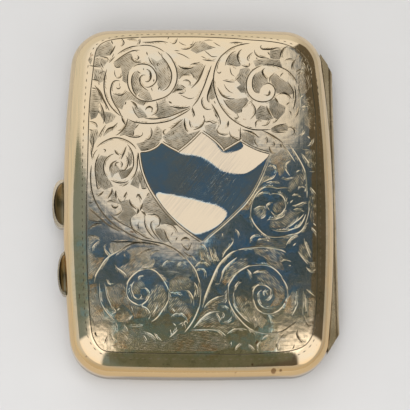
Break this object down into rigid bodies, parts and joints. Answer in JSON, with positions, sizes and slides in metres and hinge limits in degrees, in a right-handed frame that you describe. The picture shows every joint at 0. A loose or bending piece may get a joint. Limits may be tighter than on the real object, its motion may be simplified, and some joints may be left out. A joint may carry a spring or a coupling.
{
  "type": "cigarette case",
  "caption": "Pocket cigarette case: cushion-shaped silver halves on a sunk side hinge, with thumb pieces, a friction bezel and elastic straps inside.",
  "frame": {"origin": "centre of the back cover's flat resting face", "axes": "+Z out of the front cover, +Y along the long sides, +X towards the hinge"},
  "size_m": [0.0664, 0.084, 0.012],
  "materials": {
    "engraved_silver": "engraved, polished, with brown and blue tarnish",
    "plain_silver": "polished and worn, pale gold tone",
    "gilt_silver": "bright gilding",
    "joint_silver": "dull and tarnished",
    "thumb_silver": "polished rim, tarnished dish",
    "pin_metal": "drawn wire",
    "elastic": "ribbed woven elastic"
  },
  "bodies": {
    "back": {"back_cover": "plain_silver", "bezel": "gilt_silver", "back_joint_bearer": "joint_silver", "back_knuckle_lower": "joint_silver", "back_knuckle_middle": "joint_silver", "back_knuckle_upper": "joint_silver", "hinge_pin": "pin_metal", "pin_plug_lower": "joint_silver", "pin_plug_upper": "joint_silver", "back_thumb_piece": "thumb_silver", "back_strap_loop_left": "gilt_silver", "back_strap_loop_right": "gilt_silver", "back_elastic_strap": "elastic"},
    "lid": {"front_cover": "engraved_silver", "front_joint_bearer": "joint_silver", "front_knuckle_lower": "joint_silver", "front_knuckle_upper": "joint_silver", "front_thumb_piece": "thumb_silver", "front_strap_loop_left": "gilt_silver", "front_strap_loop_right": "gilt_silver", "front_elastic_strap": "elastic"}
  },
  "joints": [
    {"name": "lid_hinge", "type": "hinge", "parent": "back", "child": "lid", "pos_m": [0.0312, 0, 0.006], "axis": [0, 1, 0], "range_deg": [0, 155]}
  ]
}
